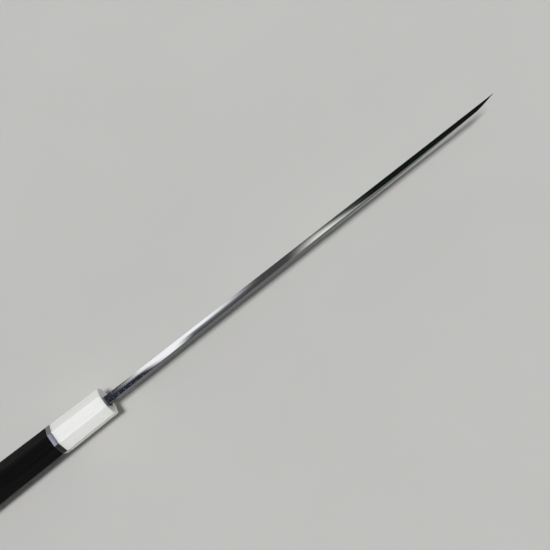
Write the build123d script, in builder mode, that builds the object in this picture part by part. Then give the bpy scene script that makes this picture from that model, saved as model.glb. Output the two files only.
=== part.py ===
from build123d import *
import math
import os

os.makedirs("parts", exist_ok=True)

# Yanagiba knife, millimetres.
# +X runs along the handle axis to the tip, +Z up to the spine, +Y to the knife's left.
# The origin is on the handle axis in the front face of the ferrule.
# The back of the blade (ura) is on the left, the bevel on the right, as for a right hand.

# Blade outline
blade_length = 300.0
neck_length = 14.2
heel_height = 34.0
neck_heel_height = 15.6
neck_mouth_height = 14.6
spine_height = 8.3
# Points of the edge between heel and tip: share of the blade length, share of the heel height
edge_run_shares = (0.333, 0.600, 0.733, 0.833, 0.900, 0.950, 0.984)
edge_depth_shares = (0.926, 0.824, 0.735, 0.603, 0.456, 0.280, 0.116)

# Blade thickness
ura_offset = 2.2
spine_thickness = 5.35
spine_point_thickness = 2.85
flat_lean = 0.5
steel_layer = 1.1
steel_start = 5.0
spine_chamfer = 0.35

# Ridge between flat and bevel (shinogi): it meets the spine just before the tip
ridge_depth = 14.4
point_length = 16.4
ridge_run_shares = (0.333, 0.600, 0.733, 0.833, 0.900, 0.950)
ridge_depth_shares = (0.880, 0.780, 0.690, 0.560, 0.410, 0.240)

# Hollow ground into the back
hollow_radius = 230.0
hollow_heel_depth = 0.45
hollow_start = 36.0
hollow_tip_inset = 23.4
hollow_tip_drop = 9.3

# Neck seat and tang
neck_seat = 2.5
neck_clearance = 0.6
neck_corner_radius = 3.0
tang_root_height = 9.5
tang_end_height = 5.0
tang_root_thickness = 3.9
tang_end_thickness = 2.4
tang_rise = 0.5
tang_clearance = 0.4
slot_end_gap = 2.0

# Handle, an octagon that widens to the rear
handle_length = 150.0
ferrule_length = 38.0
ring_length = 3.4
front_width = 19.2
front_height = 22.8
ring_width = 20.4
ring_height = 24.0
butt_width = 23.4
butt_height = 27.4
corner_width_share = 0.295
corner_height_share = 0.275
butt_chamfer = 1.2
front_chamfer = 0.35

# Dowel
dowel_diameter = 14.0
dowel_start = 8.5
dowel_body_depth = 60.6
dowel_floor = 3.9

# Mouth seal
seal_sink = 0.5

# Run of a cutter past what it cuts
overrun = 5.0

# Stations along X
tip_x = neck_length + blade_length
ridge_end_x = tip_x - point_length
ring_front_x = -ferrule_length
body_front_x = ring_front_x - ring_length
butt_x = -handle_length
dowel_end_x = body_front_x - dowel_body_depth
slot_end_x = dowel_end_x + dowel_floor
tang_end_x = slot_end_x + slot_end_gap
blade_middle_y = ura_offset - spine_thickness / 2

# Slopes of the right-hand flat
taper_slope = (spine_thickness - spine_point_thickness) / ridge_end_x
lean_slope = flat_lean / ridge_depth


# Distance of the right-hand flat from the handle axis, at a station and a depth below the spine
def flat_y(x, depth):
    return ura_offset - spine_thickness + taper_slope * x + lean_slope * depth


back_plane = Plane(origin=(0, ura_offset, 0), x_dir=(1, 0, 0), z_dir=(0, -1, 0))
flat_plane = Plane(
    origin=(0, flat_y(0, 0), spine_height),
    x_dir=(1, taper_slope, 0),
    z_dir=(taper_slope, -1, -lean_slope),
)


# A point of the flat in the coordinates of its own plane
def flat_point(x, depth):
    spot = flat_plane.to_local_coords(Vector(x, flat_y(x, depth), spine_height - depth))
    return (spot.X, spot.Y)


# A point of the back in the coordinates of its own plane
def back_point(x, depth):
    return (x, spine_height - depth)


edge_points = [back_point(neck_length, heel_height)]
for run_share, depth_share in zip(edge_run_shares, edge_depth_shares):
    edge_points.append(back_point(neck_length + blade_length * run_share, heel_height * depth_share))
edge_points.append(back_point(tip_x, 0))

ridge_points = [flat_point(neck_length, ridge_depth)]
for run_share, depth_share in zip(ridge_run_shares, ridge_depth_shares):
    ridge_run = (ridge_end_x - neck_length) * run_share
    ridge_points.append(flat_point(neck_length + ridge_run, ridge_depth * depth_share))
ridge_points.append(flat_point(ridge_end_x, 0))


# Corners of the handle's octagon for a width across and a height
def octagon(width, height):
    side = width / 2
    top = height / 2
    flat = side - width * corner_width_share
    shoulder = top - height * corner_height_share
    return [
        (flat, top),
        (side, shoulder),
        (side, -shoulder),
        (flat, -top),
        (-flat, -top),
        (-side, -shoulder),
        (-side, shoulder),
        (-flat, top),
    ]


# Planes of the octagon's flats from one section to a wider one behind it, facing outwards
def side_planes(front_x, front_corners, rear_x, rear_corners):
    planes = []
    for here, after, behind in zip(front_corners, front_corners[1:] + front_corners[:1], rear_corners):
        corner = Vector(front_x, *here)
        along = Vector(front_x, *after) - corner
        back = Vector(rear_x, *behind) - corner
        planes.append(Plane(origin=corner, x_dir=along, z_dir=along.cross(back)))
    return planes


# Neck, as thick as the spine, run a little way into the blade
with BuildPart() as neck:
    with BuildSketch(back_plane):
        Polygon(
            back_point(-neck_seat, 0),
            back_point(neck_length + overrun, 0),
            back_point(neck_length + overrun, ridge_depth - neck_clearance),
            back_point(neck_length, ridge_depth - neck_clearance),
            back_point(neck_length, neck_heel_height),
            back_point(-neck_seat, neck_mouth_height),
            align=None,
        )
    extrude(amount=spine_thickness + overrun)
    split(bisect_by=flat_plane, keep=Keep.BOTTOM)

# Blade with its neck, before it is divided into its two layers
with BuildPart() as blade:
    with BuildSketch(back_plane):
        with BuildLine():
            Line(back_point(neck_length, 0), back_point(tip_x, 0))
            Spline(*reversed(edge_points))
            Line(back_point(neck_length, heel_height), back_point(neck_length, 0))
        make_face()
    with BuildSketch(flat_plane):
        with BuildLine():
            Line(flat_point(neck_length, 0), flat_point(ridge_end_x, 0))
            Spline(*reversed(ridge_points))
            Line(flat_point(neck_length, ridge_depth), flat_point(neck_length, 0))
        make_face()
    loft(ruled=True)
    add(neck.part)
    # Round corner between the underside of the neck and the heel
    corner_edges = (
        blade.edges()
        .filter_by(Axis.Y)
        .sort_by_distance(Vector(neck_length, blade_middle_y, spine_height - neck_heel_height))[:1]
    )
    fillet(corner_edges, radius=neck_corner_radius)
    # Broken corner along the right of the spine
    spine_edges = blade.edges().sort_by_distance(
        Vector(tip_x / 2, flat_y(tip_x / 2, 0), spine_height)
    )[:1]
    chamfer(spine_edges, length=spine_chamfer)

# Tang, tapered both ways
with BuildPart() as tang:
    with BuildSketch(Plane.YZ.offset(-neck_seat)):
        with Locations((blade_middle_y, tang_rise)):
            Rectangle(tang_root_thickness, tang_root_height)
    with BuildSketch(Plane.YZ.offset(tang_end_x)):
        with Locations((blade_middle_y, tang_rise)):
            Rectangle(tang_end_thickness, tang_end_height)
    loft(ruled=True)

# Space that the tang is bedded in
with BuildPart() as slot:
    with BuildSketch(Plane.YZ.offset(-neck_seat)):
        with Locations((blade_middle_y, tang_rise)):
            Rectangle(tang_root_thickness + 2 * tang_clearance, tang_root_height + 2 * tang_clearance)
    with BuildSketch(Plane.YZ.offset(slot_end_x)):
        with Locations((blade_middle_y, tang_rise)):
            Rectangle(tang_end_thickness + 2 * tang_clearance, tang_end_height + 2 * tang_clearance)
    loft(ruled=True)

# Mouth of the ferrule round the neck
mouth_thickness = spine_thickness + 2 * neck_clearance
mouth_height = neck_mouth_height + 2 * neck_clearance
mouth_rise = spine_height - neck_mouth_height / 2
with BuildPart() as mouth:
    with BuildSketch(Plane.YZ):
        with Locations((blade_middle_y, mouth_rise)):
            Rectangle(mouth_thickness, mouth_height)
    extrude(amount=-neck_seat)

# Cutter for the hollow of the back: a long shallow cylinder with a round start
hollow_start_point = Vector(
    hollow_start,
    ura_offset + hollow_radius - hollow_heel_depth,
    spine_height - heel_height / 2,
)
hollow_end_point = Vector(
    tip_x - hollow_tip_inset,
    ura_offset + hollow_radius,
    spine_height - hollow_tip_drop,
)
hollow_line = hollow_end_point - hollow_start_point
hollow_run = hollow_line.length + point_length
hollow_plane = Plane(
    origin=hollow_start_point,
    x_dir=hollow_line,
    z_dir=hollow_line.cross(Vector(0, 1, 0)),
)
with BuildPart() as hollow:
    with BuildSketch(hollow_plane):
        with BuildLine():
            Line((-hollow_radius, 0), (hollow_run, 0))
            Line((hollow_run, 0), (hollow_run, hollow_radius))
            Line((hollow_run, hollow_radius), (0, hollow_radius))
            CenterArc((0, 0), hollow_radius, 90, 90)
        make_face()
    revolve(axis=Axis(hollow_start_point, hollow_line))

# Layer of the blade that becomes the hard steel
with BuildPart() as layer:
    with BuildSketch(Plane.XZ.offset(-ura_offset - overrun)):
        with Locations((steel_start, spine_height + overrun)):
            Rectangle(tip_x + overrun, heel_height + 2 * overrun, align=(Align.MIN, Align.MAX))
    extrude(amount=steel_layer + overrun)

# Soft iron cladding with neck and tang
with BuildPart() as blade_cladding:
    add(blade.part)
    add(tang.part)
    add(layer.part, mode=Mode.SUBTRACT)
blade_cladding.part.label = "blade_cladding"
export_step(blade_cladding.part, "parts/blade_cladding.step")

# Hard steel layer with the hollow back and the edge
with BuildPart() as blade_steel:
    add(blade.part)
    add(layer.part, mode=Mode.INTERSECT)
    add(hollow.part, mode=Mode.SUBTRACT)
blade_steel.part.label = "blade_steel"
export_step(blade_steel.part, "parts/blade_steel.step")

# White octagonal ferrule with the mouth, the tang slot and the bore for the dowel
with BuildPart() as ferrule:
    with BuildSketch(Plane.YZ):
        Rectangle(ring_width, ring_height)
    extrude(amount=-ferrule_length)
    for side_plane in side_planes(
        0, octagon(front_width, front_height), ring_front_x, octagon(ring_width, ring_height)
    ):
        split(bisect_by=side_plane, keep=Keep.BOTTOM)
    front_edges = ferrule.faces().sort_by(Axis.X)[-1].edges()
    chamfer(front_edges, length=front_chamfer)
    add(mouth.part, mode=Mode.SUBTRACT)
    add(slot.part, mode=Mode.SUBTRACT)
    with BuildSketch(Plane.YZ.offset(-dowel_start)):
        Circle(dowel_diameter / 2)
    extrude(amount=-ferrule_length, mode=Mode.SUBTRACT)
ferrule.part.label = "ferrule"
export_step(ferrule.part, "parts/ferrule.step")

# Metal spacer ring
with BuildPart() as spacer_ring:
    with BuildSketch(Plane.YZ.offset(ring_front_x)):
        Polygon(*octagon(ring_width, ring_height), align=None)
        Circle(dowel_diameter / 2, mode=Mode.SUBTRACT)
    extrude(amount=-ring_length)
spacer_ring.part.label = "spacer_ring"
export_step(spacer_ring.part, "parts/spacer_ring.step")

# Wooden handle body, bored from the front for the dowel
with BuildPart() as handle_body:
    with BuildSketch(Plane.YZ.offset(butt_x)):
        Rectangle(butt_width, butt_height)
    extrude(amount=body_front_x - butt_x)
    for side_plane in side_planes(
        body_front_x, octagon(ring_width, ring_height), butt_x, octagon(butt_width, butt_height)
    ):
        split(bisect_by=side_plane, keep=Keep.BOTTOM)
    butt_edges = handle_body.faces().sort_by(Axis.X)[0].edges()
    chamfer(butt_edges, length=butt_chamfer)
    with BuildSketch(Plane.YZ.offset(body_front_x)):
        Circle(dowel_diameter / 2)
    extrude(amount=-dowel_body_depth, mode=Mode.SUBTRACT)
handle_body.part.label = "handle_body"
export_step(handle_body.part, "parts/handle_body.step")

# Dowel through ferrule, ring and body, slotted for the tang
with BuildPart() as handle_dowel:
    with BuildSketch(Plane.YZ.offset(dowel_end_x)):
        Circle(dowel_diameter / 2)
    extrude(amount=-dowel_start - dowel_end_x)
    add(slot.part, mode=Mode.SUBTRACT)
handle_dowel.part.label = "handle_dowel"
export_step(handle_dowel.part, "parts/handle_dowel.step")

# Bedding between tang and slot
with BuildPart() as tang_bedding:
    add(slot.part)
    add(tang.part, mode=Mode.SUBTRACT)
tang_bedding.part.label = "tang_bedding"
export_step(tang_bedding.part, "parts/tang_bedding.step")

# Seal round the neck, a little below the front face
with BuildPart() as mouth_seal:
    with BuildSketch(Plane.YZ.offset(-seal_sink)):
        with Locations((blade_middle_y, mouth_rise)):
            Rectangle(mouth_thickness, mouth_height)
    extrude(amount=seal_sink - neck_seat)
    add(neck.part, mode=Mode.SUBTRACT)
mouth_seal.part.label = "mouth_seal"
export_step(mouth_seal.part, "parts/mouth_seal.step")
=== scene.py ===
import math

import bmesh
import bpy
from mathutils import Matrix, Vector


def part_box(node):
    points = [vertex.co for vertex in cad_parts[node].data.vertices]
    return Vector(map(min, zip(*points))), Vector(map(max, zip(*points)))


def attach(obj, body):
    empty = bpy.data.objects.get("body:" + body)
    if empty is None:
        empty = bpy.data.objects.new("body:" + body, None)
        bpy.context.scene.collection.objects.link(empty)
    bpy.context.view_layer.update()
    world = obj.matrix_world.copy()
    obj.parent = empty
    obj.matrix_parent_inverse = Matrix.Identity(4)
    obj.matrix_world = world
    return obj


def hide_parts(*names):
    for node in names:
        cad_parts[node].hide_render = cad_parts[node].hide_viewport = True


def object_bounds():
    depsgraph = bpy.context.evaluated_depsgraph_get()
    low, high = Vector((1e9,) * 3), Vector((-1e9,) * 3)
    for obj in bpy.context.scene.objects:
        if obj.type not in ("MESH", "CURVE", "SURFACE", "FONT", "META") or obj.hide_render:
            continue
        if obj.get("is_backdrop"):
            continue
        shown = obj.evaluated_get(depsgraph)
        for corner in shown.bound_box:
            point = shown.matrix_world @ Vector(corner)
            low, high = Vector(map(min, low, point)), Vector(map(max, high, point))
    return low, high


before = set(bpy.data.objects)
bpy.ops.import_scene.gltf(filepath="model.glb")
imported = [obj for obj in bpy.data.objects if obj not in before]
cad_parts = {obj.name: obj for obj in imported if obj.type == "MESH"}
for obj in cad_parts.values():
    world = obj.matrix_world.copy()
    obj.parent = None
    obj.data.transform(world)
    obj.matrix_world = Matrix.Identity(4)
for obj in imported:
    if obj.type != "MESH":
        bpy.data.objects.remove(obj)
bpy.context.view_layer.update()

bl_info = {
    "name": "Yanagiba Knife",
    "version": (1, 0, 0),
    "blender": (4, 5, 0),
    "location": "3D View > Sidebar > Knife",
    "description": "Makes the blade, handle and finishes of a single-bevel slicing knife",
    "category": "Add Mesh",
}

# Vertices closer than this are one.
MERGE = 0.000001
# Faces of the blade that meet at more than this show a crisp line.
CREASE = math.radians(32.0)

steel_low, steel_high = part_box("blade_steel")
cladding_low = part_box("blade_cladding")[0]
ferrule_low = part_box("ferrule")[0]
ring_low, ring_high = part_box("spacer_ring")
body_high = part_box("handle_body")[1]
dowel_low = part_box("handle_dowel")[0]
seal_low, seal_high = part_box("mouth_seal")
bedding_low, bedding_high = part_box("tang_bedding")


# Settings


def length_value(name, description, default):
    return bpy.props.FloatProperty(
        name=name, description=description, default=default,
        subtype="DISTANCE", unit="LENGTH", precision=5,
    )


def share_value(name, description, default):
    return bpy.props.FloatProperty(
        name=name, description=description, default=default, subtype="FACTOR", precision=4,
    )


def angle_value(name, description, degrees):
    return bpy.props.FloatProperty(
        name=name, description=description, default=math.radians(degrees),
        subtype="ANGLE", unit="ROTATION",
    )


def colour_value(name, description, default):
    return bpy.props.FloatVectorProperty(
        name=name, description=description, default=default,
        subtype="COLOR", size=3, min=0.0, max=1.0,
    )


def number_value(name, description, default):
    return bpy.props.FloatProperty(name=name, description=description, default=default)


class KnifeBladeSizes(bpy.types.PropertyGroup):
    blade_length: length_value("Blade length", "Heel to tip along the spine", 0.300)
    tip_x: length_value("Tip station", "Tip, ahead of the ferrule's front face", steel_high[0])
    spine_z: length_value("Spine height", "Spine above the handle axis", steel_high[2])
    back_y: length_value("Back plane", "Left face of the blade, left of the handle axis", steel_high[1])
    heel_height: length_value("Heel height", "Spine to edge at the heel", steel_high[2] - steel_low[2])
    layer: length_value("Steel layer", "Thickness of the hard steel layer", steel_high[1] - steel_low[1])
    steel_start: length_value("Steel start", "Rear end of the steel layer on the neck", steel_low[0])
    neck_rear: length_value("Neck seat", "Shoulder of the neck inside the ferrule", -0.0025)
    neck_mouth: length_value("Neck height at the mouth", "Spine to underside at the shoulder", 0.0146)
    neck_heel: length_value("Neck height at the heel", "Spine to underside at the heel", 0.0156)
    neck_round: length_value("Neck corner", "Radius between neck and heel", 0.003)
    thickness: length_value("Spine thickness", "Thickness at the ferrule's front face", 0.00535)
    point_thickness: length_value("Point thickness", "Thickness where ridge and spine meet", 0.00285)
    point_length: length_value("Point length", "Tip to where ridge and spine meet", 0.0164)
    flat_lean: length_value("Lean of the flat", "Thickness lost from spine to ridge", 0.0005)
    ridge_depth: length_value("Ridge depth", "Spine to ridge at the heel", 0.0144)
    crown: length_value("Spine crown", "Rise of the spine's middle over its corners", 0.00011)
    spine_round: length_value("Spine corner", "Width of the eased right corner of the spine", 0.00036)
    spine_turn: angle_value("Spine corner turn", "How far the eased corner turns down", 22.0)
    back_round: length_value("Back corner", "Radius of the spine's left corner", 0.00006)
    point_sweep: length_value("Point sweep", "Length over which the spine narrows to the tip", 0.0166)
    bevel_belly: length_value("Bevel belly", "Outward bow of the bevel", 0.00004)
    edge_height: length_value("Edge bevel height", "Height of the fine bevel at the edge", 0.0004)
    edge_thickness: length_value("Edge bevel thickness", "Thickness above the fine bevel", 0.0001)
    hollow_radius: length_value("Hollow radius", "Radius of the hollow across the back", 0.230)
    hollow_start: length_value("Hollow start", "Rear end of the hollow", 0.0216)
    hollow_round: length_value("Hollow start round", "Length of the hollow's round rear end", 0.015)
    spine_rim: length_value("Spine rim", "Flat rim of the back along the spine", 0.0042)
    edge_rim: length_value("Edge rim", "Flat rim of the back along the edge", 0.0026)
    tang_end: length_value("Tang end", "Rear end of the tang", cladding_low[0])
    tang_rise: length_value("Tang rise", "Middle of the tang above the handle axis", 0.0005)
    tang_root_height: length_value("Tang root height", "Height of the tang at the neck", 0.0095)
    tang_end_height: length_value("Tang end height", "Height of the tang at its end", 0.005)
    tang_root_thickness: length_value("Tang root thickness", "Thickness at the neck", 0.0039)
    tang_end_thickness: length_value("Tang end thickness", "Thickness at the end", 0.0024)


class KnifeHandleSizes(bpy.types.PropertyGroup):
    front_width: length_value("Front width", "Width of the ferrule's front", 0.0192)
    front_height: length_value("Front height", "Height of the ferrule's front", 0.0228)
    ring_width: length_value("Ring width", "Width across the ring", ring_high[1] - ring_low[1])
    ring_height: length_value("Ring height", "Height of the ring", ring_high[2] - ring_low[2])
    butt_width: length_value("Butt width", "Width across the rear end", 0.0234)
    butt_height: length_value("Butt height", "Height of the rear end", 0.0274)
    corner_width: share_value("Corner width", "Slanted flat's width over the whole width", 0.295)
    corner_height: share_value("Corner height", "Slanted flat's height over the whole height", 0.275)
    butt_break: length_value("Butt corner", "Broken corner of the rear end", 0.0012)
    horn_round: length_value("Ferrule rounding", "Radius of the ferrule's corners", 0.0008)
    ring_round: length_value("Ring rounding", "Radius of the ring's corners", 0.00012)
    wood_round: length_value("Body rounding", "Radius of the body's corners", 0.0005)
    bore_radius: length_value("Bore radius", "Radius of the dowel's bore", 0.007)
    bore_front: length_value("Bore front", "Front end of the dowel's bore", -0.0085)
    fleck_size: length_value("Fleck size", "Largest size of a dried resin fleck", 0.0004)
    fleck_reach: length_value("Fleck reach", "How far the flecks lie up the neck", 0.038)
    fleck_count: bpy.props.IntProperty(
        name="Flecks", description="Dried resin flecks round the neck", default=44, min=0)
    fleck_seed: bpy.props.IntProperty(name="Fleck seed", description="Which scatter of flecks", default=4)


class KnifeFinishes(bpy.types.PropertyGroup):
    iron: colour_value("Polished iron", "Spine and neck", (0.60, 0.605, 0.61))
    mist: colour_value("Misted iron", "Upper part of the bevel", (0.47, 0.48, 0.49))
    steel: colour_value("Edge steel", "Lower part of the bevel", (0.66, 0.67, 0.68))
    hollow: colour_value("Hollow back", "Ground back of the blade", (0.56, 0.57, 0.58))
    horn: colour_value("White horn", "Ferrule", (0.83, 0.83, 0.81))
    horn_vein: colour_value("Horn veins", "Veins in the ferrule", (0.73, 0.72, 0.69))
    # Satin flat: partly a satin finish and partly painted shade. Its colour is kept darker than the
    # polished iron to stand for the shaded floor that this flat mirrors.
    flat: colour_value("Satin flat", "Upright flat of the blade's right side", (0.42, 0.425, 0.43))
    ring: colour_value("Nickel silver", "Spacer ring", (0.30, 0.296, 0.310))
    wood: colour_value("Black wood", "Handle body", (0.0028, 0.0028, 0.0031))
    wood_streak: colour_value("Wood streaks", "Lighter streaks of the body", (0.0068, 0.0060, 0.0057))
    dowel: colour_value("Light wood", "Dowel", (0.62, 0.48, 0.30))
    resin: colour_value("Resin", "Bedding and seal", (0.030, 0.028, 0.025))
    fleck: colour_value("Flecks", "Dried resin flecks", (0.54, 0.55, 0.57))


class KnifeStage(bpy.types.PropertyGroup):
    aim: bpy.props.FloatVectorProperty(
        name="Aim", description="Point in the middle of the picture",
        default=(0.1341, -0.0037, 0.0083), size=3, subtype="XYZ", unit="LENGTH", precision=4)
    distance: length_value("Distance", "Camera to the aim", 0.600)
    tilt: angle_value("Tilt", "Lean of the camera to the knife's right", 9.0)
    turn: angle_value("Turn", "Rise of the blade across the picture", 37.95)
    picture_width: length_value("Picture width", "Width seen at the aim", 0.3474)
    floor_size: length_value("Floor size", "Side of the floor", 12.0)
    floor: colour_value("Floor", "Colour of the floor", (0.51, 0.504, 0.490))
    sun: number_value("Main light", "Strength of the main light", 2.62)
    sun_lean: angle_value("Main light lean", "Lean of the main light to the knife's right", 1.2)
    sun_spread: angle_value("Main light spread", "Width of the main light", 8.0)
    backdrop: colour_value("Backdrop", "Pale background behind the floor", (0.515, 0.518, 0.50))
    horizon: colour_value("Horizon", "Low surroundings", (0.74, 0.76, 0.72))
    horizon_dim: colour_value("Dim horizon", "Low surroundings ahead on the left", (0.12, 0.125, 0.145))


# Blade rule


class Curve:
    """Smooth line through given stations, read by its station."""

    def __init__(self, stations, values):
        self.stations = stations
        self.values = values
        count = len(stations)
        second = [0.0] * count
        work = [0.0] * count
        for i in range(1, count - 1):
            before = stations[i] - stations[i - 1]
            after = stations[i + 1] - stations[i]
            weight = before / (before + after)
            pivot = weight * second[i - 1] + 2.0
            second[i] = (weight - 1.0) / pivot
            bend = (values[i + 1] - values[i]) / after - (values[i] - values[i - 1]) / before
            work[i] = (6.0 * bend / (before + after) - weight * work[i - 1]) / pivot
        for i in range(count - 2, 0, -1):
            second[i] = second[i] * second[i + 1] + work[i]
        self.second = second

    def __call__(self, station):
        last = len(self.stations) - 1
        i = 0
        while i < last - 1 and station > self.stations[i + 1]:
            i += 1
        span = self.stations[i + 1] - self.stations[i]
        a = (self.stations[i + 1] - station) / span
        b = 1.0 - a
        bend = (a ** 3 - a) * self.second[i] + (b ** 3 - b) * self.second[i + 1]
        return a * self.values[i] + b * self.values[i + 1] + bend * span * span / 6.0


class BladeRule:
    """Where the blade's lines run at each station, worked out from the sizes."""

    # Share of the blade length from the heel, share of the heel height below the spine.
    EDGE = ((0.0, 1.0), (0.333, 0.926), (0.600, 0.824), (0.733, 0.735), (0.833, 0.603),
            (0.900, 0.456), (0.950, 0.280), (0.984, 0.116), (1.0, 0.0))
    RIDGE = ((0.0, 1.0), (0.333, 0.880), (0.600, 0.780), (0.733, 0.690), (0.833, 0.560),
             (0.900, 0.410), (0.950, 0.240), (1.0, 0.0))
    # How full the spine's outline stays before it turns in to the tip.
    SWEEP = 1.25

    def __init__(self, sizes):
        self.sizes = sizes
        self.heel_x = sizes.tip_x - sizes.blade_length
        self.ridge_end = sizes.tip_x - sizes.point_length
        self.seam_y = sizes.back_y - sizes.layer
        self.taper = (sizes.thickness - sizes.point_thickness) / self.ridge_end
        self.lean = sizes.flat_lean / sizes.ridge_depth
        self.edge_line = Curve(
            [self.heel_x + sizes.blade_length * run for run, depth in self.EDGE],
            [sizes.heel_height * depth for run, depth in self.EDGE])
        self.ridge_line = Curve(
            [self.heel_x + (self.ridge_end - self.heel_x) * run for run, depth in self.RIDGE],
            [sizes.ridge_depth * depth for run, depth in self.RIDGE])
        point = sizes.thickness - self.taper * self.ridge_end
        bare = 1.0 - (1.0 - sizes.layer / point) ** (1.0 / self.SWEEP)
        self.cladding_end = sizes.tip_x - sizes.point_sweep * bare

    def flat_y(self, x, depth):
        return self.sizes.back_y - self.sizes.thickness + self.taper * x + self.lean * depth

    def right_y(self, x):
        """Right border of the spine, swept in towards the tip."""
        full = self.flat_y(min(x, self.ridge_end), 0.0)
        share = (self.sizes.tip_x - x) / self.sizes.point_sweep
        if share >= 1.0:
            return full
        return self.sizes.back_y + (full - self.sizes.back_y) * (1.0 - (1.0 - share) ** self.SWEEP)

    def size_share(self, x):
        return (self.sizes.back_y - self.right_y(x)) / self.sizes.thickness

    def spine(self, x, y):
        """Depth of the crowned spine below its highest line."""
        half = (self.sizes.back_y - self.right_y(x)) / 2.0
        if half < MERGE:
            return 0.0
        share = (self.sizes.back_y - half - y) / half
        return self.sizes.crown * self.size_share(x) * share * share

    def edge(self, x):
        return max(self.edge_line(x), 0.0)

    def ridge(self, x):
        return max(self.ridge_line(x), 0.0) if x < self.ridge_end else 0.0

    def neck(self, x):
        rear, heel = self.sizes.neck_rear, self.heel_x
        share = (x - rear) / (heel - rear)
        depth = self.sizes.neck_mouth + (self.sizes.neck_heel - self.sizes.neck_mouth) * share
        into = x - (heel - self.sizes.neck_round)
        if into > 0.0:
            depth += self.sizes.neck_round - math.sqrt(max(self.sizes.neck_round ** 2 - into ** 2, 0.0))
        return depth

    def ridge_point(self, x):
        depth = self.ridge(x)
        if x < self.ridge_end:
            return self.flat_y(x, depth), depth
        y = self.right_y(x)
        return y, self.spine(x, y)

    def bevel_point(self, x, share):
        """Point of the bevel, from the ridge at share 0 to the edge at share 1."""
        y0, d0 = self.ridge_point(x)
        y1, d1 = self.sizes.back_y, self.edge(x)
        bow = self.sizes.bevel_belly * 4.0 * share * (1.0 - share) * self.size_share(x)
        return y0 + (y1 - y0) * share - bow, d0 + (d1 - d0) * share

    def seam_share(self, x):
        y0, d0 = self.ridge_point(x)
        if y0 >= self.seam_y:
            return 0.0
        return (self.seam_y - y0) / (self.sizes.back_y - y0)


def run(start, end, count):
    """Evenly spaced numbers from start to end, both included."""
    return [start + (end - start) * i / (count - 1) for i in range(count)]


def swing(start, end, count):
    """Numbers from start to end, both included, that crowd towards the two ends."""
    middle, half = (start + end) / 2.0, (end - start) / 2.0
    return [middle - half * math.cos(math.pi * i / (count - 1)) for i in range(count)]


# Point counts of the blade's sections.
CORNER_POINTS = 5
SPINE_POINTS = 13
FLAT_POINTS = 8
BEVEL_POINTS = 14
HOLLOW_POINTS = 19
SIDE_POINTS = 4
# Station counts: the neck before the steel starts, then up to its corner, and in the corner.
BARE_NECK_STATIONS = 8
NECK_STATIONS = 6
NECK_CORNER_STATIONS = 10
# From the heel on, the blade's stretches of stations meet at both ends of the hollow's round start,
# at these shares of the blade's length, and where ridge and spine meet. Each has its own count.
BEND_SHARES = (0.5, 0.82)
STRETCH_STATIONS = (6, 22, 22, 30, 34, 22)
# Where the steel is thin or low, its corner and its edge take at most these shares of it.
ROUND_SHARE = 0.4
NARROW_SHARE = 0.3
# The bevel's last row lies this share of its depth above the fine bevel of the edge.
EDGE_GAP_SHARE = 0.02
# Where the back has no hollow, its rows meet between these shares of its depth.
BACK_SHARES = (0.35, 0.75)
# Size of the broken lower edge of the neck, and how far its middle lies in.
NECK_BREAK = 0.0005
NECK_BREAK_MIDDLE = 0.00015


def corner(y, depth, radius):
    """Round left corner between a level top at depth and the upright side at y."""
    return [
        (y - radius * (1.0 - math.sin(a)), depth + radius * (1.0 - math.cos(a)))
        for a in run(0.0, math.pi / 2.0, CORNER_POINTS)
    ]


def eased(y, depth, width, turn):
    """Eased right corner: an arc that leaves the top level and turns down towards the side at y."""
    radius = width / math.sin(turn)
    return [
        (y + width - radius * math.sin(a), depth + radius * (1.0 - math.cos(a)))
        for a in run(0.0, turn, CORNER_POINTS)
    ]


def cladding_section(rule, x, full, blade):
    """Section of the soft iron: round its spine, down the flat and bevel and back up its left face."""
    sizes = rule.sizes
    right = rule.right_y(x)
    width = sizes.spine_round * rule.size_share(x)
    if full:
        left = sizes.back_y
        left_corner = corner(left, rule.spine(x, left), sizes.back_round)[::-1]
    else:
        left = max(rule.seam_y, right)
        left_corner = [(left, rule.spine(x, left))] * CORNER_POINTS
    start = left_corner[-1][0]
    end = min(right + width, start)
    top = [(y, rule.spine(x, y)) for y in swing(start, end, SPINE_POINTS)]
    right_corner = eased(right, rule.spine(x, end), width, sizes.spine_turn)
    if right_corner[0][0] > start:
        right_corner = [(start, rule.spine(x, start))] * CORNER_POINTS
    high = right_corner[-1][1]
    if blade:
        low_y, low = rule.ridge_point(x)
        flat = list(zip(run(right, low_y, FLAT_POINTS), run(high, max(low, high), FLAT_POINTS)))
        bevel = [rule.bevel_point(x, share) for share in run(0.0, rule.seam_share(x), BEVEL_POINTS)]
        bevel = [(y, max(depth, high)) for y, depth in bevel]
        bevel[-1] = (left, bevel[-1][1])
    else:
        deep = rule.neck(x)
        flat = [(rule.flat_y(x, d), d) for d in run(high, deep - NECK_BREAK, FLAT_POINTS)]
        bevel = [(flat[-1][0] + NECK_BREAK_MIDDLE, deep - NECK_BREAK_MIDDLE)]
        first = rule.flat_y(x, deep) + NECK_BREAK
        bevel += [(y, deep) for y in run(first, left, BEVEL_POINTS - 1)]
    back = [(left, d) for d in run(bevel[-1][1], left_corner[0][1], SIDE_POINTS)]
    return left_corner + top + right_corner + flat + bevel + back


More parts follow.
